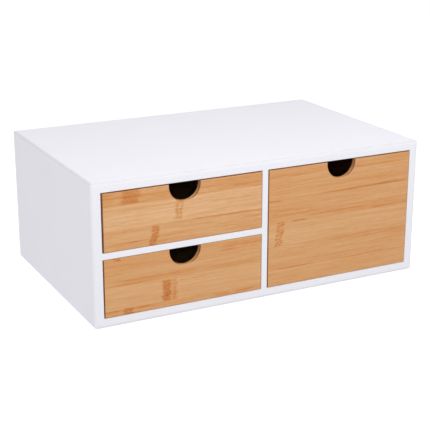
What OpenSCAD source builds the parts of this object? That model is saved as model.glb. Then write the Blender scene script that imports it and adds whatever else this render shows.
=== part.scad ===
// Desktop mini drawers: a white lacquered case with two low drawers on the left and one
// tall drawer on the right, each with a laminated bamboo front and a half-round finger notch.
// Millimetres. The origin lies on the table under the middle of the case, the fronts face -Y
// and +Z is up.

/* [Case] */
// Overall width of the case
case_w = 330; // [310:5:380]
// Overall depth of the case
case_d = 210; // [170:5:260]
// Overall height of the case
case_h = 130; // [124:1:170]
// Thickness of the top, bottom and side boards
board_t = 9; // [8:0.5:11]
// Rounding of the outer edges of the case
edge_r = 3; // [0.5:0.25:3]
// Clear width of the two left-hand bays
left_bay_w = 153; // [125:1:170]
// Clear height of the lower left-hand bay
lower_bay_h = 53; // [42:1:58]
// Thickness of the upright divider
divider_t = 6; // [5:0.5:9]
// Thickness of the shelf between the two left-hand bays
shelf_t = 6; // [5:0.5:9]
// Depth of the housings that hold the ends of the divider and the shelf
housing_d = 2; // [1:0.25:2.25]
// Rounding of the front edges round the mouth of each bay
mouth_r = 0.8; // [0.3:0.1:1.2]

/* [Case dowels] */
// Diameter of the dowels between the side boards and the top and bottom boards
dowel_d = 5; // [4:0.5:6]
// Length of a dowel
dowel_l = 24; // [18:1:30]
// Depth that a dowel goes into the top or bottom board
dowel_in_board = 5.5; // [4:0.5:6.5]
// Distance from the front and from the rear of the case to the outermost dowels
dowel_inset = 25; // [22:1:40]
// Number of dowels along each joint
dowel_count = 3; // [2:1:5]
// Chamfer on both ends of a dowel
dowel_chamfer = 0.6; // [0.3:0.1:1]

/* [Back panel] */
// Thickness of the back panel
back_t = 3; // [2.5:0.5:4]
// Width of the rebate in the boards that the back panel lies in
rebate_w = 5; // [4:0.5:5.5]
// Diameter of the panel pins that hold the back panel
back_pin_d = 1.4; // [1:0.1:2]
// Length of a panel pin
back_pin_l = 16; // [12:1:20]
// Diameter of the head of a panel pin
back_pin_head_d = 2.8; // [2.2:0.1:3.2]
// Distance from the corners of the back panel to the nearest pins
back_pin_inset = 16; // [12:1:24]
// Largest spacing of the panel pins
back_pin_pitch = 100; // [60:5:150]

/* [Drawer gaps] */
// Gap left of the front of the upper left drawer
upper_gap_left = 1.35; // [0.4:0.05:1.6]
// Gap left of the front of the lower left drawer
lower_gap_left = 0.85; // [0.4:0.05:1.6]
// Gap left of the front of the right drawer
right_gap_left = 0.7; // [0.4:0.05:1.6]
// Gap right of each front
gap_right = 0.35; // [0.3:0.05:1]
// Gap above the fronts of the upper left and the right drawer
gap_top = 1; // [0.4:0.1:1.5]
// Gap above the front of the lower left drawer, under the shelf
lower_gap_top = 0.3; // [0.2:0.1:1.5]
// Running gap under a drawer
gap_run = 0.3; // [0.2:0.05:0.6]
// Gap between a closed drawer and the back panel
gap_behind = 0.5; // [0.3:0.1:2]

/* [Drawer fronts] */
// Thickness of a front
front_t = 5.5; // [5:0.5:9]
// Rounding of the edges of the show face of a front
front_ease = 0.6; // [0.3:0.1:1]
// Radius of the four corners of a front
front_corner_r = 1; // [0.5:0.25:2]
// Radius of the half-round finger notch
notch_r = 14.5; // [10:0.5:18]
// Height of the straight part of the notch above its half-round
notch_rise = 1.5; // [0:0.25:3]
// Rounding of both edges of the finger notch
notch_ease = 1.5; // [0.4:0.1:2]

/* [Drawer boxes] */
// Thickness of the side boards of a drawer
side_t = 5; // [4.5:0.5:7]
// Distance from the end of a front to the outer face of the side board behind it
side_inset = 0.5; // [0.3:0.1:1]
// Distance from the top edge of a front down to the top edges of the sides and the back
side_drop = 4; // [2:0.5:8]
// Rounding of the top edges of the sides and the back
top_ease = 0.8; // [0.3:0.1:1.2]
// Length of the tongue on the front end of a side board, glued into the front
tongue_l = 3; // [2:0.25:3.5]
// Thickness of that tongue
tongue_t = 2.5; // [2:0.25:2.75]
// Thickness of the back board of a drawer
rear_t = 5; // [4.5:0.5:7]
// Depth of the rebate in a side board that the back board is glued and pinned in
lap_d = 2.5; // [2.2:0.1:3]
// Thickness of the floor of a drawer
floor_t = 3; // [2.5:0.5:4]
// Height of the floor above the lower edge of the sides
floor_up = 4; // [3:0.5:6]
// Depth of the groove that holds the floor on all four sides
groove_d = 2; // [1.25:0.25:2]

/* [Drawer pins] */
// Diameter of the pins through the side boards into the back board
pin_d = 1.2; // [1:0.1:1.6]
// Length of a drawer pin
pin_l = 15; // [12:1:18]
// Diameter of the head of a drawer pin
pin_head_d = 2.2; // [1.8:0.1:2.6]
// Height of the lowest pin above the floor, and of the highest below the edge
pin_margin = 6; // [4:0.5:9]
// Largest spacing of the drawer pins
pin_pitch = 45; // [30:5:60]

/* [Fits] */
// Clearance round a dowel or a pin in its hole
hole_fit = 0.05; // [0.02:0.01:0.1]
// Clearance round the floor and the tongues in their grooves
groove_fit = 0.1; // [0.05:0.05:0.2]

/* [Hidden] */

LACQUER = "#ebebf0";
BAMBOO = "#d6a273";
PLY = "#e2cda6";
BEECH = "#d9b98c";
STEEL = "#b9bcc2";

// Overshoot of a cutting shape past the face that it cuts
cut = 1;
// Segments of a full circle, which stands for a true arc
$fn = 48;

// Outer faces of the case
x_left = -case_w / 2;
x_right = case_w / 2;
y_front = -case_d / 2;
y_rear = case_d / 2;
z_low = board_t;
z_high = case_h - board_t;

// Faces of the divider, the shelf and the back panel
divider_x = x_left + board_t + left_bay_w;
shelf_z = z_low + lower_bay_h;
back_y = y_rear - back_t;
rebate_lip = board_t - rebate_w;

// Each bay: its low left corner [x, z], its clear size [w, h] and the gaps [left, above] that
// its front leaves
LOWER_LEFT = [
    [x_left + board_t, z_low], [left_bay_w, lower_bay_h], [lower_gap_left, lower_gap_top]
];
UPPER_LEFT = [
    [x_left + board_t, shelf_z + shelf_t],
    [left_bay_w, z_high - shelf_z - shelf_t],
    [upper_gap_left, gap_top]
];
RIGHT = [
    [divider_x + divider_t, z_low],
    [x_right - board_t - divider_x - divider_t, z_high - z_low],
    [right_gap_left, gap_top]
];
BAYS = [UPPER_LEFT, LOWER_LEFT, RIGHT];

// Places of one drawer, worked out from its bay
function front_x(bay) = bay[0][0] + bay[2][0];
function front_z(bay) = bay[0][1] + gap_run;
function front_w(bay) = bay[1][0] - bay[2][0] - gap_right;
function front_h(bay) = bay[1][1] - gap_run - bay[2][1];
function box_h(bay) = front_h(bay) - side_drop;
function inner_w(bay) = front_w(bay) - 2 * (side_inset + side_t);
function inner_x(bay) = front_x(bay) + side_inset + side_t;
function floor_z(bay) = front_z(bay) + floor_up;
front_rear_y = y_front + front_t;
drawer_end_y = back_y - gap_behind;
rear_y = drawer_end_y - rear_t;

// Even places from a to b, no further apart than pitch
function spread(a, b, pitch) =
    let (n = max(1, ceil((b - a) / pitch)))
    [for (i = [0:n]) a + (b - a) * i / n];

// ---- Shared shapes ----

// A block between two opposite corners
module block(low, high) {
    translate(low) cube(high - low);
}

// A rectangle with four round corners, centred on the origin
module soft_rectangle(w, h, r) {
    square([w - 2 * r, h], center = true);
    square([w, h - 2 * r], center = true);
    for (x = [-1, 1], y = [-1, 1])
        translate([x * (w / 2 - r), y * (h / 2 - r)]) circle(r);
}

// The section of a plank, w by h from the origin, with the two corners at y = 0 rounded
module eased_section(w, h, r) {
    translate([0, r]) square([w, h - r]);
    translate([r, 0]) square([w - 2 * r, h]);
    for (x = [r, w - r])
        translate([x, r]) circle(r);
}

// The same plank section with its two corners at y = h rounded
module capped_section(w, h, r) {
    translate([0, h]) mirror([0, 1]) eased_section(w, h, r);
}

// What cuts a slot of width w with rounded lips: its lips lie at y = 0 and bend into the
// walls of the slot, which run to +Y
module lipped_section(w, r) {
    translate([0, -cut]) square([w, r + cut]);
    difference() {
        translate([-r, -cut]) square([w + 2 * r, r + cut]);
        for (x = [-r, w + r])
            translate([x, r]) circle(r);
    }
}

// A pin with a flat head on a short cone, and a pointed end: the top of its head lies on
// z = 0 and it points to -Z. With fit more than 0 it is the hole for one.
module nail(d, l, head_d, fit) {
    head_r = head_d / 2 + fit;
    shank_r = d / 2 + fit;
    rotate_extrude()
        polygon([
            [0, fit], [head_r, fit], [head_r, -head_d / 5], [shank_r, -head_d / 2 - fit],
            [shank_r, d - l], [0, -l - fit]
        ]);
}

// ---- The case ----

// The outer form of the case, with every edge rounded
module case_form() {
    intersection() {
        translate([0, 0, -cut])
            linear_extrude(case_h + 2 * cut) soft_rectangle(case_w, case_d, edge_r);
        translate([0, y_rear + cut, case_h / 2]) rotate([90, 0, 0])
            linear_extrude(case_d + 2 * cut) soft_rectangle(case_w, case_h, edge_r);
        translate([x_left - cut, 0, case_h / 2]) rotate([90, 0, 90])
            linear_extrude(case_w + 2 * cut) soft_rectangle(case_d, case_h, edge_r);
    }
}

// The mouth of one bay, which rounds the front edges of the boards round it
module bay_mouth(bay) {
    w = bay[1][0];
    h = bay[1][1];
    translate([bay[0][0], y_front, bay[0][1]])
        intersection() {
            translate([0, 0, -mouth_r]) linear_extrude(h + 2 * mouth_r)
                lipped_section(w, mouth_r);
            translate([-mouth_r, 0, 0]) rotate([90, 0, 90]) linear_extrude(w + 2 * mouth_r)
                rotate(90) mirror([0, 1]) lipped_section(h, mouth_r);
        }
}

// The space that the back panel lies in, open to the rear
module back_rebate() {
    block(
        [x_left + rebate_lip, back_y, rebate_lip],
        [x_right - rebate_lip, y_rear + cut, case_h - rebate_lip]
    );
}

// The dowels of the four long joints, or their holes when fit is more than 0
module dowel_set(fit) {
    depth = dowel_l / 2 + fit;
    step = (case_d - 2 * dowel_inset) / (dowel_count - 1);
    for (x = [x_left + board_t / 2, x_right - board_t / 2], i = [0:dowel_count - 1])
        for (z = [
            z_low - dowel_in_board + dowel_l / 2,
            z_high + dowel_in_board - dowel_l / 2
        ])
            translate([x, y_front + dowel_inset + i * step, z])
                rotate_extrude()
                    polygon([
                        [0, -depth], [dowel_d / 2 + fit - dowel_chamfer, -depth],
                        [dowel_d / 2 + fit, dowel_chamfer - depth],
                        [dowel_d / 2 + fit, depth - dowel_chamfer],
                        [dowel_d / 2 + fit - dowel_chamfer, depth], [0, depth]
                    ]);
}

// Places [x, z] of the panel pins: along all four edges and down the divider
function back_pin_places() =
    let (
        line = rebate_lip + rebate_w / 2,
        xs = spread(x_left + line + back_pin_inset, x_right - line - back_pin_inset,
            back_pin_pitch),
        zs = spread(line + back_pin_inset, case_h - line - back_pin_inset, back_pin_pitch)
    )
    concat(
        [for (x = xs, z = [line, case_h - line]) [x, z]],
        [for (x = [x_left + line, divider_x + divider_t / 2, x_right - line], z = zs) [x, z]]
    );

// The panel pins, or their holes when fit is more than 0
module back_pin_set(fit) {
    for (place = back_pin_places())
        translate([place[0], y_rear, place[1]]) rotate([-90, 0, 0])
            nail(back_pin_d, back_pin_l, back_pin_head_d, fit);
}

// What is cut away from the boards of the case after they are sawn to size
module case_cuts() {
    back_rebate();
    dowel_set(hole_fit);
    back_pin_set(hole_fit);
    for (bay = BAYS)
        bay_mouth(bay);
}

// The divider and the shelf with the ends that go into their housings
module divider_blank() {
    block(
        [divider_x, y_front, z_low - housing_d],
        [divider_x + divider_t, back_y, z_high + housing_d]
    );
}

module shelf_blank() {
    block(
        [x_left + board_t - housing_d, y_front, shelf_z],
        [divider_x + housing_d, back_y, shelf_z + shelf_t]
    );
}

module top_board() {
    color(LACQUER)
        difference() {
            intersection() {
                case_form();
                block([x_left - cut, y_front - cut, z_high],
                    [x_right + cut, y_rear + cut, case_h + cut]);
            }
            case_cuts();
            divider_blank();
        }
}

module bottom_board() {
    color(LACQUER)
        difference() {
            intersection() {
                case_form();
                block([x_left - cut, y_front - cut, -cut],
                    [x_right + cut, y_rear + cut, z_low]);
            }
            case_cuts();
            divider_blank();
        }
}

module left_side_board() {
    color(LACQUER)
        difference() {
            intersection() {
                case_form();
                block([x_left - cut, y_front - cut, z_low],
                    [x_left + board_t, y_rear + cut, z_high]);
            }
            case_cuts();
            shelf_blank();
        }
}

module right_side_board() {
    color(LACQUER)
        difference() {
            intersection() {
                case_form();
                block([x_right - board_t, y_front - cut, z_low],
                    [x_right + cut, y_rear + cut, z_high]);
            }
            case_cuts();
        }
}

module divider() {
    color(LACQUER)
        difference() {
            divider_blank();
            case_cuts();
            shelf_blank();
        }
}

module shelf() {
    color(LACQUER)
        difference() {
            shelf_blank();
            case_cuts();
        }
}

module back_panel() {
    color(LACQUER)
        difference() {
            block([x_left + rebate_lip, back_y, rebate_lip],
                [x_right - rebate_lip, y_rear, case_h - rebate_lip]);
            back_pin_set(hole_fit);
        }
}

module case_dowels() {
    color(BEECH) dowel_set(0);
}

module back_panel_pins() {
    color(STEEL) back_pin_set(0);
}

// ---- The drawers ----

// Half the section of a finger notch through a front: from its middle at x = 0 to its wall,
// which is rounded at the show face, y = 0, and at the rear face
module notch_section() {
    wide_r = notch_r + notch_ease;
    difference() {
        translate([0, -cut]) square([wide_r, front_t + 2 * cut]);
        translate([notch_r, notch_ease]) square([notch_ease, front_t - 2 * notch_ease]);
        for (depth = [notch_ease, front_t - notch_ease])
            translate([wide_r, depth]) circle(notch_ease);
    }
}

// The finger notch of a front w wide and h high, in the middle of its top edge: a half-round
// with short straight sides above it
module finger_notch(w, h) {
    translate([w / 2, 0, h - notch_rise]) {
        rotate([-90, 0, 0]) rotate_extrude($fn = 96) notch_section();
        for (side = [0, 1])
            mirror([side, 0, 0]) linear_extrude(notch_rise + cut) notch_section();
    }
}

// The side board at x = 0 with its outer face to -X: a plank with a tongue on its front end,
// a rebate at its rear end and the groove for the floor along its inner face
module side_blank(bay) {
    tip_y = front_rear_y - tongue_l + groove_fit;
    difference() {
        translate([0, drawer_end_y, 0]) rotate([90, 0, 0]) linear_extrude(drawer_end_y - tip_y)
            capped_section(side_t, box_h(bay), top_ease);
        block([-cut, tip_y - cut, -cut], [side_t - tongue_t, front_rear_y, box_h(bay) + cut]);
        block([side_t - lap_d, rear_y, -cut],
            [side_t + cut, drawer_end_y + cut, box_h(bay) + cut]);
        block([side_t - groove_d, tip_y - cut, floor_up - groove_fit],
            [side_t + cut, drawer_end_y + cut, floor_up + floor_t + groove_fit]);
    }
}

// Places [x, z, side] of the pins of one drawer, side being -1 on the left and 1 on the right
function pin_places(bay) =
    let (
        low = floor_z(bay) + floor_t + pin_margin,
        high = front_z(bay) + box_h(bay) - pin_margin,
        left = front_x(bay) + side_inset,
        right = front_x(bay) + front_w(bay) - side_inset
    )
    [for (z = spread(low, high, pin_pitch), side = [-1, 1])
        [side < 0 ? left : right, z, side]];

// The pins of one drawer, or their holes when fit is more than 0
module pin_set(bay, fit) {
    for (place = pin_places(bay))
        translate([place[0], rear_y + rear_t / 2, place[1]])
            rotate([0, place[2] * 90, 0])
                nail(pin_d, pin_l, pin_head_d, fit);
}

// A bamboo front: rounded corners and show edges, finger notch, two stopped grooves for the
// tongues of the sides and a groove for the floor between them
module drawer_front(bay) {
    w = front_w(bay);
    h = front_h(bay);
    inner = side_inset + side_t;
    slot_t = tongue_t + groove_fit;
    color(BAMBOO)
        translate([front_x(bay), y_front, front_z(bay)])
            difference() {
                intersection() {
                    translate([0, 0, -cut]) linear_extrude(h + 2 * cut)
                        eased_section(w, front_t, front_ease);
                    translate([-cut, 0, 0]) rotate([90, 0, 90]) linear_extrude(w + 2 * cut)
                        translate([0, h]) rotate(-90) eased_section(h, front_t, front_ease);
                    translate([w / 2, front_t + cut, h / 2]) rotate([90, 0, 0])
                        linear_extrude(front_t + 2 * cut)
                            soft_rectangle(w, h, front_corner_r);
                }
                finger_notch(w, h);
                for (x = [inner - tongue_t, w - inner - groove_fit])
                    block([x, front_t - tongue_l, -cut],
                        [x + slot_t, front_t + cut, box_h(bay)]);
                block([inner - groove_d, front_t - groove_d, floor_up - groove_fit],
                    [w - inner + groove_d, front_t + cut, floor_up + floor_t + groove_fit]);
            }
}

module drawer_left_side(bay) {
    color(BAMBOO)
        difference() {
            translate([front_x(bay) + side_inset, 0, front_z(bay)]) side_blank(bay);
            pin_set(bay, hole_fit);
        }
}

module drawer_right_side(bay) {
    color(BAMBOO)
        difference() {
            translate([front_x(bay) + front_w(bay) - side_inset, 0, front_z(bay)])
                mirror([1, 0, 0]) side_blank(bay);
            pin_set(bay, hole_fit);
        }
}

module drawer_back(bay) {
    low_x = inner_x(bay) - lap_d;
    high_x = inner_x(bay) + inner_w(bay) + lap_d;
    color(BAMBOO)
        difference() {
            translate([low_x, rear_y, front_z(bay)]) rotate([90, 0, 90])
                linear_extrude(high_x - low_x)
                    capped_section(rear_t, box_h(bay), top_ease);
            block([low_x - cut, rear_y - cut, floor_z(bay) - groove_fit],
                [high_x + cut, rear_y + groove_d, floor_z(bay) + floor_t + groove_fit]);
            pin_set(bay, hole_fit);
        }
}

module drawer_floor(bay) {
    reach = groove_d - groove_fit;
    color(PLY)
        block([inner_x(bay) - reach, front_rear_y - reach, floor_z(bay)],
            [inner_x(bay) + inner_w(bay) + reach, rear_y + reach, floor_z(bay) + floor_t]);
}

module drawer_pins(bay) {
    color(STEEL) pin_set(bay, 0);
}

module upper_left_front() drawer_front(UPPER_LEFT);
module upper_left_left_side() drawer_left_side(UPPER_LEFT);
module upper_left_right_side() drawer_right_side(UPPER_LEFT);
module upper_left_back() drawer_back(UPPER_LEFT);
module upper_left_floor() drawer_floor(UPPER_LEFT);
module upper_left_pins() drawer_pins(UPPER_LEFT);

module lower_left_front() drawer_front(LOWER_LEFT);
module lower_left_left_side() drawer_left_side(LOWER_LEFT);
module lower_left_right_side() drawer_right_side(LOWER_LEFT);
module lower_left_back() drawer_back(LOWER_LEFT);
module lower_left_floor() drawer_floor(LOWER_LEFT);
module lower_left_pins() drawer_pins(LOWER_LEFT);

module right_front() drawer_front(RIGHT);
module right_left_side() drawer_left_side(RIGHT);
module right_right_side() drawer_right_side(RIGHT);
module right_back() drawer_back(RIGHT);
module right_floor() drawer_floor(RIGHT);
module right_pins() drawer_pins(RIGHT);

top_board();
bottom_board();
left_side_board();
right_side_board();
divider();
shelf();
back_panel();
case_dowels();
back_panel_pins();
upper_left_front();
upper_left_left_side();
upper_left_right_side();
upper_left_back();
upper_left_floor();
upper_left_pins();
lower_left_front();
lower_left_left_side();
lower_left_right_side();
lower_left_back();
lower_left_floor();
lower_left_pins();
right_front();
right_left_side();
right_right_side();
right_back();
right_floor();
right_pins();
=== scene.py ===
import math

import bpy
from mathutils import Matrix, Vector


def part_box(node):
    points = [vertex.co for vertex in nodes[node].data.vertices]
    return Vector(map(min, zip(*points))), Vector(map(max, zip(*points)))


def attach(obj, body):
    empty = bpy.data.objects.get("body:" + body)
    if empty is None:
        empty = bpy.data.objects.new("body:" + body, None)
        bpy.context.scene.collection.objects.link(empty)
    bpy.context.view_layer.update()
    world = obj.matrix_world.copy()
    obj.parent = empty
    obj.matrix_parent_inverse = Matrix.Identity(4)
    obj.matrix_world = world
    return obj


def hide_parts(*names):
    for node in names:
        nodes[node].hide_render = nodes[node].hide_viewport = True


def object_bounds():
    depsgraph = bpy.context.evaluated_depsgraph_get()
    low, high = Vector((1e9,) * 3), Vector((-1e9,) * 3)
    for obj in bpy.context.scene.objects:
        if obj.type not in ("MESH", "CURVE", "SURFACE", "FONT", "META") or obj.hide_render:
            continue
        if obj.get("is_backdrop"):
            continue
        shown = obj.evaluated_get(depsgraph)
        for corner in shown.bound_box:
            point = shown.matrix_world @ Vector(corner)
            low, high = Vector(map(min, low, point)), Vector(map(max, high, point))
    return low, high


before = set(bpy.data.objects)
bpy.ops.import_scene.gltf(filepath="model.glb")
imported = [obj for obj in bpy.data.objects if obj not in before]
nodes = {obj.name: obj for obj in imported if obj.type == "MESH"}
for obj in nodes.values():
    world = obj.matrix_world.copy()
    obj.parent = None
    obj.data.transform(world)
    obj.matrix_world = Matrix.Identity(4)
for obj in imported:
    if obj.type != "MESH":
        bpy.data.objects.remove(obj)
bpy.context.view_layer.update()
scene = bpy.context.scene
scene.view_settings.view_transform = "Standard"

# ---- Camera ----
# A long lens a little above the case and to its left, as in the photograph: about 1.1 m away,
# turned 27 degrees to the right and tipped 18 degrees down.
MM = 0.001
image_side_px = 430
focal_px = 1123.2
camera_place = Vector((-473.2, -936.8, 388.0)) * MM
camera_turn = math.radians(-26.95)
camera_dip = math.radians(17.88)
camera_data = bpy.data.cameras.new("camera")
camera_data.lens = camera_data.sensor_width * focal_px / image_side_px
camera = bpy.data.objects.new("camera", camera_data)
scene.collection.objects.link(camera)
camera.location = camera_place
camera.rotation_euler = (math.pi / 2 - camera_dip, 0, camera_turn)
scene.camera = camera


# ---- Studio ----
# A white sweep under a plain soft light: a pale sky all round, the sweep's own bounce from below,
# a wide lamp above the front and one further off on the left. The floor shows white and keeps a
# faint shadow.
def new_material(name):
    """A material with an empty node tree, and the tree."""
    made = bpy.data.materials.new(name)
    made.use_nodes = True
    made.node_tree.nodes.clear()
    return made, made.node_tree


def add_node(tree, kind, inputs=None, **settings):
    """A node with some of its settings and inputs filled in: an input is a socket or a value."""
    made = tree.nodes.new(kind)
    for key, value in settings.items():
        setattr(made, key, value)
    for key, value in (inputs or {}).items():
        if isinstance(value, bpy.types.NodeSocket):
            tree.links.new(value, made.inputs[key])
        else:
            made.inputs[key].default_value = value
    return made


def math_node(tree, operation, *values):
    """The value socket of a Math node on sockets or numbers."""
    return add_node(tree, "ShaderNodeMath", dict(enumerate(values)), operation=operation).outputs[0]


def between(tree, value, low, high, to_low=0.0, to_high=1.0, smooth=False):
    """A Map Range node's value: low..high goes to to_low..to_high, and is held there outside."""
    return add_node(tree, "ShaderNodeMapRange", {
        0: value, 1: low, 2: high, 3: to_low, 4: to_high}, clamp=True,
        interpolation_type="SMOOTHSTEP" if smooth else "LINEAR").outputs[0]


sky_strength = 0.61
bounce_strength = 0.71
pale_sky_color = (0.985, 0.985, 1.0, 1)
world = bpy.data.worlds.new("studio")
scene.world = world
world.use_nodes = True
tree = world.node_tree
tree.nodes.clear()
path = add_node(tree, "ShaderNodeLightPath").outputs
seen = math_node(tree, "MAXIMUM", path["Is Camera Ray"], path["Is Glossy Ray"])
seen = math_node(tree, "MAXIMUM", seen, path["Is Transmission Ray"])
direction = add_node(tree, "ShaderNodeTexCoord").outputs["Generated"]
height = add_node(tree, "ShaderNodeSeparateXYZ", {0: direction}).outputs[2]
horizon_blur = 0.05
strength = between(tree, height, -horizon_blur, horizon_blur, bounce_strength, sky_strength)
white_sky = add_node(tree, "ShaderNodeBackground", {"Color": (1, 1, 1, 1), "Strength": 1.0})
pale_sky = add_node(tree, "ShaderNodeBackground", {"Color": pale_sky_color, "Strength": strength})
mixed = add_node(tree, "ShaderNodeMixShader",
                 {0: seen, 1: pale_sky.outputs[0], 2: white_sky.outputs[0]})
add_node(tree, "ShaderNodeOutputWorld", {"Surface": mixed.outputs[0]})

# the floor glows just enough to show white in the open, so only the shadow is darker
floor_drop = 0.2 * MM
floor_half = 4.0
shadow_share = 0.85
white_margin = 0.015
corners = [(x * floor_half, y * floor_half, -floor_drop)
           for x, y in ((-1, -1), (1, -1), (1, 1), (-1, 1))]
floor_mesh = bpy.data.meshes.new("floor")
floor_mesh.from_pydata(corners, [], [(0, 1, 2, 3)])
floor = bpy.data.objects.new("floor", floor_mesh)
scene.collection.objects.link(floor)
floor.visible_diffuse = False
floor.visible_shadow = False
material, tree = new_material("white_floor")
lit = add_node(tree, "ShaderNodeBsdfDiffuse", {
    "Color": (shadow_share, shadow_share, shadow_share, 1)})
glow = add_node(tree, "ShaderNodeEmission", {
    "Color": (1, 1, 1, 1), "Strength": 1 + white_margin - shadow_share * sky_strength})
both = add_node(tree, "ShaderNodeAddShader", {0: lit.outputs[0], 1: glow.outputs[0]})
clear = add_node(tree, "ShaderNodeBsdfTransparent")
side = add_node(tree, "ShaderNodeNewGeometry")
mixed = add_node(tree, "ShaderNodeMixShader",
                 {0: side.outputs["Backfacing"], 1: both.outputs[0], 2: clear.outputs[0]})
add_node(tree, "ShaderNodeOutputMaterial", {"Surface": mixed.outputs[0]})
floor_mesh.materials.append(material)
floor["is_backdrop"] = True

case_middle = Vector((0, 0, 60)) * MM
for name, width, watts, place in (("key_lamp", 0.8, 3.25, (0.05, -0.55, 0.78)),
                                  ("side_lamp", 1.0, 4.2, (-1.3, -0.9, 0.9))):
    lamp_data = bpy.data.lights.new(name, "AREA")
    lamp_data.shape = "DISK"
    lamp_data.size = width
    lamp_data.energy = watts
    lamp = bpy.data.objects.new(name, lamp_data)
    scene.collection.objects.link(lamp)
    lamp.location = place
    lamp.rotation_euler = (lamp.location - case_middle).to_track_quat("Z", "Y").to_euler()


def set_finish(material, *names):
    """Gives CAD nodes a material in place of the plain one that they come with."""
    for name in names:
        for place in nodes[name].material_slots:
            place.material = material


def noise(tree, vector, scale, detail=2.0, distortion=0.0):
    """The value socket of a Noise Texture."""
    return add_node(tree, "ShaderNodeTexNoise", {
        "Vector": vector, "Scale": scale, "Detail": detail, "Distortion": distortion}).outputs[0]


def mix_colors(tree, share, *colors):
    """The colour socket of a Mix node on two colours, each a socket or three numbers."""
    first, second = (color if isinstance(color, bpy.types.NodeSocket) else (*color, 1)
                     for color in colors)
    return add_node(tree, "ShaderNodeMix", {0: share, 6: first, 7: second},
                    data_type="RGBA").outputs[2]


def linear(*levels):
    """A colour given by its 0-255 picture levels, as the linear numbers that shaders take."""
    return tuple(
        c / 12.92 if c <= 0.04045 else ((c + 0.055) / 1.055) ** 2.4
        for c in (level / 255 for level in levels))


white, tree = new_material("white_lacquer")
place = add_node(tree, "ShaderNodeTexCoord").outputs
spot = place["Object"]
cloudy = noise(tree, spot, 14, detail=3)
color = mix_colors(tree, cloudy, linear(241, 241, 247), linear(245, 245, 250))
# painted shade: the rounded upper edges are coloured a little darker, in patches, to take back the
# highlight that the lamp puts on them
upward = add_node(tree, "ShaderNodeSeparateXYZ", {0: place["Normal"]}).outputs[2]
rounded = math_node(tree, "MULTIPLY", between(tree, upward, 0.2, 0.6),
                    between(tree, upward, 0.995, 0.9))
patches = between(tree, noise(tree, spot, 110), 0.3, 0.7, 0.7, 1.0)
painted_edge_shade = math_node(tree, "MULTIPLY", rounded, patches)
color = mix_colors(tree, painted_edge_shade, color, linear(226, 225, 228))
peel = noise(tree, spot, 900, detail=1)
dust = noise(tree, spot, 2600)
height = math_node(tree, "MULTIPLY_ADD", dust, 0.25, peel)
bump = add_node(tree, "ShaderNodeBump", {
    "Strength": 0.12, "Distance": 0.03 * MM, "Height": height})
rough = between(tree, noise(tree, spot, 60, detail=4), 0.3, 0.7, 0.50, 0.60)
shader = add_node(tree, "ShaderNodeBsdfPrincipled", {
    "Base Color": color, "Roughness": rough, "Normal": bump.outputs[0], "Specular IOR Level": 0.4})
add_node(tree, "ShaderNodeOutputMaterial", {"Surface": shader.outputs[0]})
set_finish(white, "top_board", "bottom_board", "left_side_board", "right_side_board",
           "divider", "shelf")
# the thin panel behind is painted with a roller, which leaves a flatter, faintly pebbled coat
rolled, tree = new_material("rolled_white_paint")
spot = add_node(tree, "ShaderNodeTexCoord").outputs["Object"]
pebbles = noise(tree, spot, 420, detail=2)
cloudy = noise(tree, spot, 9, detail=3)
color = mix_colors(tree, cloudy, linear(230, 230, 233), linear(236, 236, 239))
hollows = between(tree, pebbles, 0.35, 0.65, 0.0, 0.25)
color = mix_colors(tree, hollows, color, linear(220, 220, 224))
bump = add_node(tree, "ShaderNodeBump", {
    "Strength": 0.3, "Distance": 0.04 * MM, "Height": pebbles})
shader = add_node(tree, "ShaderNodeBsdfPrincipled", {
    "Base Color": color, "Roughness": between(tree, pebbles, 0.3, 0.7, 0.60, 0.72),
    "Normal": bump.outputs[0], "Specular IOR Level": 0.35})
add_node(tree, "ShaderNodeOutputMaterial", {"Surface": shader.outputs[0]})
set_finish(rolled, "back_panel")


# ---- Bamboo ----
# Drawer fronts and boxes are cut from flat-pressed bamboo: split canes planed to 22 mm strips and
# glued edge to edge. Each strip has its own tone, long fibres, and a knuckle where the cane had a
# joint. The groups below draw these from a place along, across and into a board.
def new_group(name, inputs, outputs):
    """An empty shader node group, with its inner input sockets and its output node."""
    group = bpy.data.node_groups.new(name, "ShaderNodeTree")
    for key, value in inputs.items():
        made = group.interface.new_socket(key, in_out="INPUT", socket_type="NodeSocketFloat")
        made.default_value = value
    for key in outputs:
        group.interface.new_socket(key, in_out="OUTPUT", socket_type="NodeSocketFloat")
    return group, group.nodes.new("NodeGroupInput").outputs, group.nodes.new("NodeGroupOutput")


def place_group(tree, group, values):
    """A group placed in a tree with its own values; the output sockets."""
    return add_node(tree, "ShaderNodeGroup", values, node_tree=group).outputs


def point(tree, x=0.0, y=0.0, z=0.0):
    """The vector socket of three sockets or numbers."""
    return add_node(tree, "ShaderNodeCombineXYZ", {0: x, 1: y, 2: z}).outputs[0]


def stretched(tree, axes, *counts):
    """The vector socket of two or three sockets in metres, each times its own count per metre."""
    return point(tree, *(
        math_node(tree, "MULTIPLY", axis, count) for axis, count in zip(axes, counts)))


# Strips, fibres and glue lines. Along runs with the fibres, Across over the strips, in metres.
grain_group, given, result = new_group(
    "bamboo_grain",
    {"Along": 0.0, "Across": 0.0, "Depth": 0.0, "Strip Width": 22 * MM, "First Edge": 0.0,
     "Board": 0.0, "Contrast": 0.7, "Slope": 0.02, "Wave": 0.5 * MM, "Knuckle Spacing": 0.26},
    ("Tone", "Fibre", "Strip", "Seam", "From Knuckle"))
tree = grain_group
from_edge = math_node(tree, "SUBTRACT", given["Across"], given["First Edge"])
strips = math_node(tree, "DIVIDE", from_edge, given["Strip Width"])
number = math_node(tree, "ADD", math_node(tree, "FLOOR", strips), given["Board"])
chance = add_node(tree, "ShaderNodeTexWhiteNoise", {"W": number}, noise_dimensions="1D")
strip_chance = chance.outputs["Value"]
other = add_node(tree, "ShaderNodeSeparateColor", {0: chance.outputs["Color"]}).outputs
# every strip reads the noises at a place of its own
shift = math_node(tree, "MULTIPLY", strip_chance, 9.0)
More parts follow.
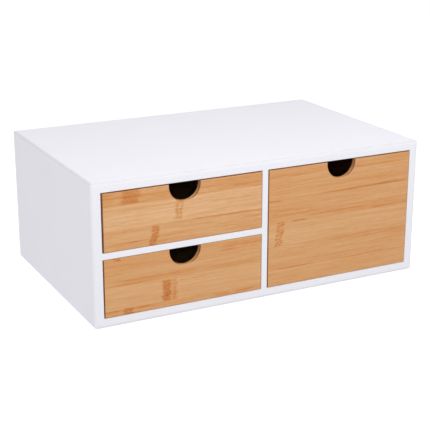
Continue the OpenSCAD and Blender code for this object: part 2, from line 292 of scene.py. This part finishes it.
# the fibres lean a little in each strip, and sway
lean = math_node(tree, "MULTIPLY", math_node(tree, "SUBTRACT", other[1], 0.5), given["Slope"])
sway_spot = point(tree, math_node(tree, "MULTIPLY_ADD", given["Along"], 16.0, shift),
                  math_node(tree, "MULTIPLY", given["Across"], 60.0), shift)
sway = math_node(tree, "SUBTRACT", noise(tree, sway_spot, 1.0, detail=1.5), 0.5)
across = math_node(tree, "MULTIPLY_ADD", sway, given["Wave"], given["Across"])
across = math_node(tree, "MULTIPLY_ADD", given["Along"], lean, across)
# bands, fibres and hair lines: their counts per metre along and across the grain, and weights
tone, layers = 0.0, []
for along_count, across_count, detail, weight in (
    (3, 110, 1.5, 0.32), (7, 380, 2.0, 0.50), (32, 900, 2.0, 0.85), (130, 1400, 1.0, 0.50),
):
    fibre_spot = point(
        tree, math_node(tree, "MULTIPLY_ADD", given["Along"], along_count, shift),
        math_node(tree, "MULTIPLY", across, across_count),
        math_node(tree, "MULTIPLY", given["Depth"], across_count))
    layers.append(math_node(tree, "SUBTRACT", noise(tree, fibre_spot, 1.0, detail=detail), 0.5))
    tone = math_node(tree, "MULTIPLY_ADD", layers[-1], weight, tone)
tone = math_node(tree, "MULTIPLY", tone, given["Contrast"])
tree.links.new(tone, result.inputs["Tone"])
tree.links.new(math_node(tree, "MULTIPLY_ADD", layers[2], 0.6, layers[3]), result.inputs["Fibre"])
tree.links.new(strip_chance, result.inputs["Strip"])
nearest = math_node(tree, "ROUND", strips)
off_seam = math_node(tree, "MULTIPLY", given["Strip Width"],
                     math_node(tree, "ABSOLUTE", math_node(tree, "SUBTRACT", strips, nearest)))
seam_line = between(tree, off_seam, 0.12 * MM, 0.5 * MM, 1, 0)
seam_chance = noise(tree, point(tree, given["Along"], nearest, given["Board"]), 25.0)
tree.links.new(math_node(tree, "MULTIPLY", seam_line, between(tree, seam_chance, 0.35, 0.65)),
               result.inputs["Seam"])
start = math_node(tree, "MULTIPLY", strip_chance, given["Knuckle Spacing"])
half = math_node(tree, "MULTIPLY", given["Knuckle Spacing"], 0.5)
from_start = math_node(tree, "SUBTRACT", given["Along"], start)
tree.links.new(math_node(tree, "WRAP", from_start, half, math_node(tree, "MULTIPLY", half, -1.0)),
               result.inputs["From Knuckle"])

# A knuckle: the ring where the cane had a joint, cut lengthways. Dark flecks stand in a ragged,
# leaning column across the strip, loose or closed up to a block, and the fibres swerve round it.
knuckle_group, given, result = new_group(
    "bamboo_knuckle",
    {"From Knuckle": 0.0, "Across": 0.0, "Depth": 0.0, "Width": 9 * MM, "Low": -1.0, "High": 1.0,
     "Solid": 0.3, "Lean": 0.0, "Ragged": 5 * MM},
    ("Mask", "Bend"))
tree = knuckle_group
rough_spot = stretched(
    tree, (given["From Knuckle"], given["Across"], given["Depth"]), 150.0, 800.0, 160.0)
ragged = math_node(tree, "SUBTRACT", noise(tree, rough_spot, 1.0, detail=2.0), 0.5)
middle = math_node(tree, "MULTIPLY", math_node(tree, "ADD", given["Low"], given["High"]), 0.5)
off_middle = math_node(tree, "SUBTRACT", given["Across"], middle)
leaning = math_node(tree, "MULTIPLY", off_middle, given["Lean"])
sway_spot = point(tree, given["Low"], math_node(tree, "MULTIPLY", given["Across"], 190.0),
                  math_node(tree, "MULTIPLY", given["Depth"], 160.0))
sway = math_node(tree, "SUBTRACT", noise(tree, sway_spot, 1.0), 0.5)
uneven = math_node(tree, "MULTIPLY", math_node(tree, "ADD", ragged, sway), given["Ragged"])
along = math_node(tree, "ADD", given["From Knuckle"], math_node(tree, "SUBTRACT", uneven, leaning))
share = math_node(tree, "ABSOLUTE", math_node(tree, "DIVIDE", along, given["Width"]))
fade = 0.6 * MM
above = between(tree, math_node(tree, "SUBTRACT", given["Across"], given["Low"]), 0, fade)
below = between(tree, math_node(tree, "SUBTRACT", given["High"], given["Across"]), 0, fade)
inside = math_node(tree, "MULTIPLY", above, below)
# the flecks are short strokes that lie aslant
fleck_spot = point(
    tree, math_node(tree, "MULTIPLY_ADD", given["Across"], 240.0,
                    math_node(tree, "MULTIPLY", given["From Knuckle"], 210.0)),
    math_node(tree, "MULTIPLY_ADD", given["From Knuckle"], -260.0,
              math_node(tree, "MULTIPLY", given["Across"], 800.0)),
    math_node(tree, "MULTIPLY", given["Depth"], 700.0))
fleck = noise(tree, fleck_spot, 1.0, detail=2.0, distortion=1.1)
body = between(tree, share, 0.28, 0.62, 1, 0, smooth=True)
block = math_node(tree, "MULTIPLY", body, between(tree, fleck, 0.34, 0.62, 0.6, 1.3))
off_column = math_node(tree, "ABSOLUTE", math_node(tree, "SUBTRACT", share, 0.2))
column = between(tree, off_column, 0.0, 0.34, 1, 0, smooth=True)
ticks = math_node(tree, "MULTIPLY", column, between(tree, fleck, 0.42, 0.56, 0.1, 1.5))
mask = add_node(tree, "ShaderNodeMix", {0: given["Solid"], 2: ticks, 3: block}).outputs[0]
tree.links.new(math_node(tree, "MULTIPLY", mask, inside), result.inputs["Mask"])
near = between(tree, share, 0.2, 1.8, 1, 0, smooth=True)
swerve = math_node(tree, "MULTIPLY", math_node(tree, "MULTIPLY", ragged, near), 3.0 * MM)
tree.links.new(math_node(tree, "MULTIPLY", swerve, inside), result.inputs["Bend"])

# A streak: a few darker fibres that run side by side for a while and fade out at both ends.
streak_group, given, result = new_group(
    "bamboo_streak",
    {"Along": 0.0, "Across": 0.0, "Start": 0.0, "End": 0.1, "Height": 0.0, "Rise": 0.0,
     "Thickness": 1 * MM, "Strength": 0.5},
    ("Mask",))
tree = streak_group
share = math_node(tree, "DIVIDE", math_node(tree, "SUBTRACT", given["Along"], given["Start"]),
                  math_node(tree, "SUBTRACT", given["End"], given["Start"]))
line = math_node(tree, "MULTIPLY_ADD", share, given["Rise"], given["Height"])
wander_spot = point(tree, math_node(tree, "MULTIPLY", given["Along"], 22.0), given["Height"])
wander = math_node(tree, "SUBTRACT", noise(tree, wander_spot, 1.0), 0.5)
line = math_node(tree, "MULTIPLY_ADD", wander, 2.0 * MM, line)
off = math_node(tree, "ABSOLUTE", math_node(tree, "SUBTRACT", given["Across"], line))
off = math_node(tree, "DIVIDE", off, given["Thickness"])
narrow = between(tree, off, 0, 1.3, 1, 0, smooth=True)
fade_in = between(tree, share, 0.0, 0.22, smooth=True)
fade_out = between(tree, share, 0.72, 1.0, 1, 0, smooth=True)
mask = math_node(tree, "MULTIPLY", math_node(tree, "MULTIPLY", fade_in, fade_out), narrow)
tree.links.new(math_node(tree, "MULTIPLY", mask, given["Strength"]), result.inputs["Mask"])

# from dark fibre to the palest wood: where each shade stands on the tone scale, and the shade
bamboo_shades = (
    (0.0, (174, 97, 42)), (0.21, (195, 120, 57)), (0.42, (205, 134, 70)), (0.58, (211, 149, 90)),
    (0.75, (216, 163, 110)), (0.92, (225, 176, 127)), (1.0, (230, 183, 136)))


def bamboo(name, run, first_edge=0.0, board=0.0, contrast=0.7, tones=(), knuckles=(), streaks=()):
    """A bamboo material whose fibres run along X or Y. The lists describe one board, in
    millimetres from the case's origin: tones of its strips by height, knuckles and streaks."""
    lane_width = 20 * MM
    lane_step = 7.0
    plain_knuckle_strength = 0.25
    seam_darkening = 0.16
    material, tree = new_material(name)
    place = add_node(tree, "ShaderNodeTexCoord").outputs
    axes = add_node(tree, "ShaderNodeSeparateXYZ", {0: place["Object"]}).outputs
    along, depth = (axes[0], axes[1]) if run == "X" else (axes[1], axes[0])
    across = axes[2]
    knots, bend = [], 0.0
    for middle, low, high, width, solid, leaning, strength in knuckles:
        outputs = place_group(tree, knuckle_group, {
            "From Knuckle": math_node(tree, "SUBTRACT", along, middle * MM), "Across": across,
            "Depth": depth, "Width": width * MM, "Low": low * MM, "High": high * MM, "Solid": solid,
            "Lean": leaning})
        knots.append(math_node(tree, "MULTIPLY", outputs["Mask"], strength))
        bend = math_node(tree, "ADD", outputs["Bend"], bend)
    if run == "Y":
        # the boards that run along Y stand side by side, each in a lane of its own
        lane = math_node(tree, "FLOOR", math_node(tree, "DIVIDE", depth, lane_width))
        board = math_node(tree, "MULTIPLY_ADD", lane, lane_step, board)
    grain = place_group(tree, grain_group, {
        "Along": along, "Across": math_node(tree, "ADD", across, bend), "Depth": depth,
        "First Edge": first_edge * MM, "Board": board, "Contrast": contrast})
    if not knuckles:
        outputs = place_group(tree, knuckle_group, {
            "From Knuckle": grain["From Knuckle"], "Across": across, "Depth": depth,
            "Solid": grain["Strip"]})
        knots.append(math_node(tree, "MULTIPLY", outputs["Mask"], plain_knuckle_strength))
    if tones:
        base, top = tones[0][0], tones[-1][1]
        ramp = add_node(tree, "ShaderNodeValToRGB", {0: between(tree, across, base * MM, top * MM)})
        ramp.color_ramp.interpolation = "CONSTANT"
        stops = ramp.color_ramp.elements
        while len(stops) < len(tones):
            stops.new(1.0)
        for stop, (low, high, level) in zip(stops, tones):
            stop.position = (low - base) / (top - base)
            stop.color = (level, level, level, 1)
        level = ramp.outputs[0]
    else:
        level = between(tree, grain["Strip"], 0, 1, 0.60, 0.82)
    tone = math_node(tree, "ADD", level, grain["Tone"])
    patchy = between(tree, grain["Tone"], -0.1, 0.1, 1.25, 0.55)
    for start, end, height, rise, thickness, strength in streaks:
        mark = place_group(tree, streak_group, {
            "Along": along, "Across": across, "Start": start * MM, "End": end * MM,
            "Height": height * MM, "Rise": rise * MM, "Thickness": thickness * MM,
            "Strength": strength})["Mask"]
        tone = math_node(tree, "SUBTRACT", tone, math_node(tree, "MULTIPLY", mark, patchy))
    seam = math_node(tree, "MULTIPLY", grain["Seam"], seam_darkening)
    tone = math_node(tree, "SUBTRACT", tone, seam)
    knot = knots[0]
    for more in knots[1:]:
        knot = math_node(tree, "MAXIMUM", knot, more)
    tone = math_node(tree, "SUBTRACT", tone, knot)
    ramp = add_node(tree, "ShaderNodeValToRGB", {0: tone})
    stops = ramp.color_ramp.elements
    while len(stops) < len(bamboo_shades):
        stops.new(1.0)
    for stop, (position, shade) in zip(stops, bamboo_shades):
        stop.position = position
        stop.color = (*linear(*shade), 1)
    # cut ends show the fibres as dots, and the rounded edges between a face and a cut end are
    # coloured a darker brown
    facing = add_node(tree, "ShaderNodeSeparateXYZ", {0: place["Normal"]}).outputs
    end_axis, face_axis = (0, 1) if run == "X" else (1, 0)
    end = math_node(tree, "ABSOLUTE", facing[end_axis])
    face = math_node(tree, "ABSOLUTE", facing[face_axis])
    dots = between(tree, noise(tree, place["Object"], 1700.0, detail=1.0), 0.42, 0.58)
    # partly painted light: the cut ends are darker than the faces, but coloured paler than bare end
    # grain so that the notch walls look lit
    end_grain_and_painted_light = mix_colors(tree, dots, linear(164, 106, 66), linear(214, 160, 116))
    color = mix_colors(tree, between(tree, end, 0.8, 0.98), ramp.outputs[0], end_grain_and_painted_light)
    rounded = math_node(tree, "MULTIPLY", between(tree, face, 0.1, 0.3),
                        between(tree, face, 0.92, 0.75))
    dark_rim = math_node(tree, "MULTIPLY", rounded, between(tree, end, 0.2, 0.5, 0, 0.85))
    color = mix_colors(tree, dark_rim, color, linear(120, 58, 24))
    rough = between(tree, grain["Fibre"], -0.3, 0.3, 0.52, 0.42)
    relief = math_node(tree, "MULTIPLY_ADD", grain["Seam"], -0.8, grain["Fibre"])
    bump = add_node(tree, "ShaderNodeBump", {
        "Strength": 0.25, "Distance": 0.04 * MM, "Height": relief})
    shader = add_node(tree, "ShaderNodeBsdfPrincipled", {
        "Base Color": color, "Roughness": rough, "Normal": bump.outputs[0],
        "Specular IOR Level": 0.4})
    add_node(tree, "ShaderNodeOutputMaterial", {"Surface": shader.outputs[0]})
    return material


# ---- Drawer fronts ----
# 5.5 mm bamboo boards, flush with the case, with a half-round finger notch that is routed and
# rounded at both faces. Their strips lie level, and each board has its own tones and marks.

# tones: low, high, tone; knuckles: middle, low, high, width, solid, lean, strength;
# streaks: start, end, height, rise, thickness, strength
upper_left_bamboo = bamboo(
    "bamboo_upper_left_front", "X", first_edge=86.0, board=3.0, contrast=0.75,
    tones=((64.0, 86.0, 0.73), (86.0, 108.0, 0.84), (108.0, 130.0, 0.65)),
    knuckles=((-129.8, 108.2, 124.0, 17.0, 0.90, 0.0, 0.31),
              (-84.4, 88.5, 107.6, 8.5, 0.0, 0.15, 0.32),
              (-108.4, 66.0, 85.8, 7.2, 0.60, 0.25, 0.44)),
    streaks=((-158.0, -110.0, 73.5, 1.0, 0.6, 0.35), (-85.0, 0.0, 86.4, 0.0, 0.7, 0.25),
             (-36.0, 2.0, 112.0, -1.0, 3.0, 0.12), (-160.0, -120.0, 117.0, 0.0, 3.5, 0.10),
             (-60.0, 0.0, 101.0, -1.5, 0.7, 0.14), (-64.0, 2.0, 80.0, 1.0, 0.8, 0.16)))
lower_left_bamboo = bamboo(
    "bamboo_lower_left_front", "X", first_edge=14.7, board=11.0, contrast=0.52,
    tones=((-7.3, 14.7, 0.64), (14.7, 36.6, 0.76), (36.6, 58.6, 0.67), (58.6, 80.6, 0.68)),
    knuckles=((-143.8, 58.8, 70.0, 7.0, 0.50, 0.0, 0.35),
              (-97.1, 15.0, 34.6, 8.8, 0.95, 0.0, 0.54),
              (-89.8, 15.0, 34.6, 5.0, 0.75, 0.0, 0.28),
              (-133.8, 5.0, 15.4, 10.0, 0.80, 0.0, 0.42)),
    streaks=((-160.0, -60.0, 39.5, 0.0, 3.2, 0.12), (-60.0, 2.0, 39.0, -0.5, 2.2, 0.09),
             (-88.0, -54.0, 32.2, 0.3, 0.7, 0.28), (-46.0, 2.0, 55.0, 0.5, 4.0, 0.14),
             (-52.0, -34.0, 12.2, 0.0, 1.5, 0.26), (-32.0, -8.0, 12.0, 0.5, 1.5, 0.26),
             (-128.0, -112.0, 13.7, 0.0, 0.9, 0.26), (-162.0, -140.0, 14.0, 0.0, 0.9, 0.26),
             (-157.0, -100.0, 55.0, -1.0, 0.9, 0.14), (-160.0, -112.0, 36.8, 0.0, 0.7, 0.14)))
right_bamboo = bamboo(
    "bamboo_right_front", "X", first_edge=25.4, board=23.0, contrast=0.57,
    tones=((3.4, 25.4, 0.69), (25.4, 47.3, 0.67), (47.3, 69.5, 0.74), (69.5, 91.5, 0.67),
           (91.5, 113.2, 0.66), (113.2, 135.0, 0.62)),
    knuckles=((15.4, 47.5, 70.5, 8.5, 0.15, 0.12, 0.40),),
    streaks=((86.0, 160.0, 112.8, 0.0, 1.0, 0.22), (-2.0, 50.0, 112.8, 0.0, 1.0, 0.16),
             (46.0, 170.0, 91.6, 1.9, 0.9, 0.34), (-6.0, 20.0, 90.8, 0.0, 1.3, 0.30),
             (40.0, 118.0, 73.5, 0.0, 0.8, 0.18), (110.0, 170.0, 71.0, 0.0, 1.0, 0.24),
             (26.0, 46.0, 69.8, 0.0, 1.1, 0.36), (68.0, 94.0, 54.8, 0.0, 0.9, 0.18),
             (60.0, 165.0, 45.5, 0.0, 3.6, 0.16), (116.0, 148.0, 34.8, 0.0, 1.0, 0.18),
             (10.0, 58.0, 25.2, 0.3, 1.1, 0.26), (68.0, 160.0, 25.8, 0.0, 1.0, 0.18),
             (0.0, 60.0, 79.0, 0.0, 4.0, 0.08)))
set_finish(upper_left_bamboo, "upper_left_front")
set_finish(lower_left_bamboo, "lower_left_front")
set_finish(right_bamboo, "right_front")

# ---- Drawer boxes ----
# Sides and backs of sanded bamboo, 5 mm thick, with rounded top edges. The sides are tongued into
# the front and rebated round the back; the fibres run along each board. A little paler than the
# fronts, because they are only thinly lacquered.
side_bamboo = bamboo("bamboo_drawer_sides", "Y", first_edge=5.0, board=41.0)
back_bamboo = bamboo("bamboo_drawer_backs", "X", first_edge=12.0, board=67.0)
drawers = ("upper_left", "lower_left", "right")
for drawer in drawers:
    set_finish(side_bamboo, f"{drawer}_left_side", f"{drawer}_right_side")
    set_finish(back_bamboo, f"{drawer}_back")


# ---- Drawer floors ----
# 3 mm birch plywood, sanded but bare, held in grooves on all four sides. Rotary-cut veneer shows
# broad wavy figure and short pores; three plies and two glue lines show on a cut edge.
plywood, tree = new_material("birch_plywood")
place = add_node(tree, "ShaderNodeTexCoord").outputs
axes = add_node(tree, "ShaderNodeSeparateXYZ", {0: place["Object"]}).outputs
figure_spot = stretched(tree, axes, 6.0, 42.0, 9.0)
figure = noise(tree, figure_spot, 1.0, detail=3.0, distortion=1.2)
pore_spot = stretched(tree, axes, 260.0, 2600.0, 1.0)
pores = between(tree, noise(tree, pore_spot, 1.0, detail=1.0), 0.60, 0.70)
fine_spot = stretched(tree, axes, 22.0, 700.0, 1.0)
fine = noise(tree, fine_spot, 1.0, detail=2.0)
broad = between(tree, figure, 0.32, 0.68)
color = mix_colors(tree, broad, linear(220, 190, 150), linear(236, 213, 180))
threads = between(tree, fine, 0.35, 0.65, 0.0, 0.35)
color = mix_colors(tree, threads, color, linear(205, 176, 132))
color = mix_colors(tree, math_node(tree, "MULTIPLY", pores, 0.35), color, linear(168, 130, 90))
# the glue lines show only on the cut edges; undersides lie 0.3 mm above a whole millimetre
ply_thickness = 1 * MM
underside = 0.3 * MM
from_underside = math_node(tree, "SUBTRACT", axes[2], underside)
plies = math_node(tree, "DIVIDE", from_underside, ply_thickness)
nearest = math_node(tree, "ROUND", plies)
off_glue = math_node(tree, "ABSOLUTE", math_node(tree, "SUBTRACT", plies, nearest))
facing = add_node(tree, "ShaderNodeSeparateXYZ", {0: place["Normal"]}).outputs
edge = between(tree, math_node(tree, "ABSOLUTE", facing[2]), 0.3, 0.7, 1, 0)
glue = math_node(tree, "MULTIPLY", between(tree, off_glue, 0.04, 0.12, 1, 0), edge)
color = mix_colors(tree, math_node(tree, "MULTIPLY", glue, 0.6), color, linear(120, 84, 54))
relief = math_node(tree, "MULTIPLY_ADD", pores, -0.8, fine)
bump = add_node(tree, "ShaderNodeBump", {
    "Strength": 0.3, "Distance": 0.05 * MM, "Height": relief})
rough = between(tree, figure, 0.3, 0.7, 0.62, 0.74)
shader = add_node(tree, "ShaderNodeBsdfPrincipled", {
    "Base Color": color, "Roughness": rough, "Normal": bump.outputs[0],
    "Specular IOR Level": 0.35})
add_node(tree, "ShaderNodeOutputMaterial", {"Surface": shader.outputs[0]})
set_finish(plywood, *(f"{drawer}_floor" for drawer in drawers))


# ---- Case dowels ----
# Twelve fluted beech dowels, 5 by 24 mm, glued upright in the side boards and the top and bottom
# boards. The flutes let the glue out of the hole; both ends are chamfered.
def turned_pegs():
    """A Geometry Nodes tree that stands a turned peg on each vertex. A peg hangs along -Z from its
    top and is turned to the vertex's own aim. Head, dome, tip and flutes are all inputs."""
    group = bpy.data.node_groups.new("turned_pegs", "GeometryNodeTree")
    group.interface.new_socket("Geometry", in_out="INPUT", socket_type="NodeSocketGeometry")
    for key, value in {
        "Length": 16 * MM, "Shank Radius": 0.7 * MM, "Head Radius": 1.4 * MM, "Head Height": 1 * MM,
        "Chamfer": 0.2 * MM, "Chamfer Share": 0.8, "Tip": 1.4 * MM, "Tip Share": 0.1,
        "Flute Depth": 0.0, "Flutes": 12.0,
    }.items():
        made = group.interface.new_socket(key, in_out="INPUT", socket_type="NodeSocketFloat")
        made.default_value = value
    made = group.interface.new_socket("Sides", in_out="INPUT", socket_type="NodeSocketInt")
    made.default_value = 24
    group.interface.new_socket("Finish", in_out="INPUT", socket_type="NodeSocketMaterial")
    group.interface.new_socket("Geometry", in_out="OUTPUT", socket_type="NodeSocketGeometry")
    given = group.nodes.new("NodeGroupInput").outputs
    result = group.nodes.new("NodeGroupOutput")
    # stations down the axis, closer together near both ends
    axis = add_node(group, "GeometryNodeCurvePrimitiveLine", {
        "Start": (0, 0, 0), "End": (0, 0, -1)})
    axis = add_node(group, "GeometryNodeResampleCurve", {"Curve": axis.outputs[0], "Count": 26})
    share = add_node(group, "GeometryNodeSplineParameter").outputs["Factor"]
    share = between(group, share, 0, 1, 0, -1, smooth=True)
    axis = add_node(group, "GeometryNodeSetPosition", {
        "Geometry": axis.outputs[0],
        "Position": point(group, 0.0, 0.0, math_node(group, "MULTIPLY", share, given["Length"]))})
    place = add_node(group, "GeometryNodeInputPosition").outputs[0]
    depth = math_node(group, "MULTIPLY", add_node(
        group, "ShaderNodeSeparateXYZ", {0: place}).outputs[2], -1.0)
    left_over = math_node(group, "SUBTRACT", given["Length"], depth)
    neck = math_node(group, "MULTIPLY", given["Head Height"], 0.4)
    radius = between(group, depth, neck, given["Head Height"], given["Head Radius"],
                     given["Shank Radius"])
    radius = math_node(group, "MULTIPLY", radius, between(
        group, depth, 0.0, given["Chamfer"], given["Chamfer Share"], 1.0))
    radius = math_node(group, "MULTIPLY", radius, between(
        group, left_over, 0.0, given["Tip"], given["Tip Share"], 1.0))
    # a ring of 1 m radius, drawn in where the flutes are
    ring = add_node(group, "GeometryNodeCurvePrimitiveCircle", {
        "Resolution": given["Sides"], "Radius": 1.0})
    turn = math_node(group, "MULTIPLY", add_node(group, "GeometryNodeSplineParameter").outputs[0],
                     math_node(group, "MULTIPLY", given["Flutes"], 2 * math.pi))
    dip = math_node(group, "POWER", math_node(
        group, "MULTIPLY_ADD", math_node(group, "COSINE", turn), 0.5, 0.5), 3.0)
    deepest = math_node(group, "DIVIDE", given["Flute Depth"], given["Shank Radius"])
    scale = math_node(group, "SUBTRACT", 1.0, math_node(group, "MULTIPLY", dip, deepest))
    drawn_in = add_node(group, "ShaderNodeVectorMath", {0: place, "Scale": scale},
                        operation="SCALE").outputs[0]
    ring = add_node(group, "GeometryNodeSetPosition", {
        "Geometry": ring.outputs[0], "Position": drawn_in})
    peg = add_node(group, "GeometryNodeCurveToMesh", {
        "Curve": axis.outputs[0], "Profile Curve": ring.outputs[0], "Scale": radius,
        "Fill Caps": True})
    angle = add_node(group, "GeometryNodeInputMeshEdgeAngle").outputs[0]
    peg = add_node(group, "GeometryNodeSetShadeSmooth", {
        "Geometry": peg.outputs[0], "Shade Smooth": True}, domain="FACE")
    peg = add_node(group, "GeometryNodeSetShadeSmooth", {
        "Geometry": peg.outputs[0], "Selection": math_node(group, "GREATER_THAN", angle, 0.7),
        "Shade Smooth": False}, domain="EDGE")
    aim = add_node(group, "GeometryNodeInputNamedAttribute", {"Name": "aim"},
                   data_type="FLOAT_VECTOR")
    turned = add_node(group, "FunctionNodeAlignRotationToVector", {"Vector": aim.outputs[0]},
                      axis="Z")
    pegs = add_node(group, "GeometryNodeInstanceOnPoints", {
        "Points": given["Geometry"], "Instance": peg.outputs[0], "Rotation": turned.outputs[0]})
    pegs = add_node(group, "GeometryNodeRealizeInstances", {0: pegs.outputs[0]})
    pegs = add_node(group, "GeometryNodeSetMaterial", {
        "Geometry": pegs.outputs[0], "Material": given["Finish"]})
    group.links.new(pegs.outputs[0], result.inputs[0])
    return group


pegs_tree = turned_pegs()


def set_pegs(name, tops, aims, finish, slot, body, node, sides=24, **sizes):
    """Pegs with their tops at the given places, as one plain mesh that stands for a CAD node."""
    mesh = bpy.data.meshes.new(name + "_tops")
    mesh.from_pydata(tops, [], [])
    mesh.attributes.new("aim", "FLOAT_VECTOR", "POINT").data.foreach_set(
        "vector", [number for aim in aims for number in aim])
    seed = bpy.data.objects.new(name + "_tops", mesh)
    scene.collection.objects.link(seed)
    modifier = seed.modifiers.new("pegs", "NODES")
    modifier.node_group = pegs_tree
    sockets = {item.name: item.identifier for item in pegs_tree.interface.items_tree
               if item.in_out == "INPUT"}
    modifier[sockets["Finish"]] = finish
    modifier[sockets["Sides"]] = sides
    for key, value in sizes.items():
        modifier[sockets[key.replace("_", " ").title()]] = float(value)
    bpy.context.view_layer.update()
    shape = bpy.data.meshes.new_from_object(
        seed.evaluated_get(bpy.context.evaluated_depsgraph_get()), preserve_all_data_layers=True,
        depsgraph=bpy.context.evaluated_depsgraph_get())
    bpy.data.objects.remove(seed)
    bpy.data.meshes.remove(mesh)
    shape.name = name
    shape.materials.clear()
    shape.materials.append(finish)
    piece = bpy.data.objects.new(name, shape)
    scene.collection.objects.link(piece)
    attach(piece, body)
    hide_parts(node)


beech, tree = new_material("beech_dowel")
place = add_node(tree, "ShaderNodeTexCoord").outputs
axes = add_node(tree, "ShaderNodeSeparateXYZ", {0: place["Object"]}).outputs
fleck_spot = stretched(tree, axes, 2600.0, 2600.0, 420.0)
flecks = between(tree, noise(tree, fleck_spot, 1.0, detail=1.0), 0.56, 0.66)
vein_spot = stretched(tree, axes, 800.0, 800.0, 30.0)
veins = noise(tree, vein_spot, 1.0, detail=3.0)
color = mix_colors(tree, veins, linear(206, 168, 124), linear(226, 194, 154))
color = mix_colors(tree, math_node(tree, "MULTIPLY", flecks, 0.5), color, linear(170, 118, 78))
bump = add_node(tree, "ShaderNodeBump", {
    "Strength": 0.3, "Distance": 0.05 * MM, "Height": veins})
shader = add_node(tree, "ShaderNodeBsdfPrincipled", {
    "Base Color": color, "Roughness": between(tree, veins, 0.3, 0.7, 0.58, 0.7),
    "Normal": bump.outputs[0]})
add_node(tree, "ShaderNodeOutputMaterial", {"Surface": shader.outputs[0]})
dowel_length = 24 * MM
dowel_radius = 2.5 * MM
low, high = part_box("case_dowels")
tops = [
    (x, y, z)
    for x in (low[0] + dowel_radius, high[0] - dowel_radius)
    for y in (low[1] + dowel_radius, (low[1] + high[1]) / 2, high[1] - dowel_radius)
    for z in (low[2] + dowel_length, high[2])]
set_pegs("fluted_dowels", tops, [(0, 0, 1)] * len(tops), beech, "beech", "case", "case_dowels",
         length=dowel_length, shank_radius=dowel_radius, head_radius=dowel_radius,
         head_height=1 * MM, chamfer=0.6 * MM, chamfer_share=0.76, tip=0.6 * MM, tip_share=0.76,
         flute_depth=0.2 * MM, flutes=12, sides=48)


# ---- Panel pins and drawer pins ----
# Bright steel wire pins with small domed heads, driven flush: fourteen of 16 mm through the back
# panel into the boards and the divider, and two or three of 15 mm through each drawer side into
# the back board.
steel, tree = new_material("steel_wire")
spot = add_node(tree, "ShaderNodeTexCoord").outputs["Object"]
scratches = noise(tree, spot, 5200, detail=2.0)
dull = noise(tree, spot, 420, detail=3.0)
color = mix_colors(tree, dull, linear(168, 170, 174), linear(206, 207, 210))
bump = add_node(tree, "ShaderNodeBump", {
    "Strength": 0.2, "Distance": 0.02 * MM, "Height": scratches})
shader = add_node(tree, "ShaderNodeBsdfPrincipled", {
    "Base Color": color, "Metallic": 1.0, "Roughness": between(tree, dull, 0.3, 0.7, 0.28, 0.45),
    "Normal": bump.outputs[0]})
add_node(tree, "ShaderNodeOutputMaterial", {"Surface": shader.outputs[0]})
head_radius = 1.4 * MM
corner_inset = 16 * MM
low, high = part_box("back_panel_pins")
first_x, last_x = low[0] + head_radius, high[0] - head_radius
first_z, last_z = low[2] + head_radius, high[2] - head_radius
row_start, row_end = first_x + corner_inset, last_x - corner_inset
row_x = [row_start + (row_end - row_start) * step / 3 for step in range(4)]
column_z = (first_z + corner_inset, last_z - corner_inset)
tops = [(x, high[1], z) for x in row_x for z in (first_z, last_z)]
tops += [(x, high[1], z) for x in (first_x, 0.0, last_x) for z in column_z]
set_pegs("panel_pins", tops, [(0, 1, 0)] * len(tops), steel, "steel", "case", "back_panel_pins",
         length=16 * MM, shank_radius=0.7 * MM, head_radius=head_radius, head_height=1.4 * MM,
         chamfer=0.15 * MM, chamfer_share=0.7, tip=1.4 * MM, tip_share=0.1)
head_radius = 1.1 * MM
widest_spacing = 45 * MM
for drawer in drawers:
    low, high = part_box(f"{drawer}_pins")
    first_z, last_z = low[2] + head_radius, high[2] - head_radius
    rows = max(1, math.ceil((last_z - first_z) / widest_spacing))
    heights = [first_z + (last_z - first_z) * step / rows for step in range(rows + 1)]
    y = (low[1] + high[1]) / 2
    tops = [(x, y, z) for x in (low[0], high[0]) for z in heights]
    aims = [(-1, 0, 0)] * len(heights) + [(1, 0, 0)] * len(heights)
    set_pegs(f"{drawer}_drawer_pins", tops, aims, steel, "steel", f"{drawer}_drawer",
             f"{drawer}_pins", length=15 * MM, shank_radius=0.6 * MM, head_radius=head_radius,
             head_height=1.1 * MM, chamfer=0.12 * MM, chamfer_share=0.7, tip=1.2 * MM,
             tip_share=0.1)

low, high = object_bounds()
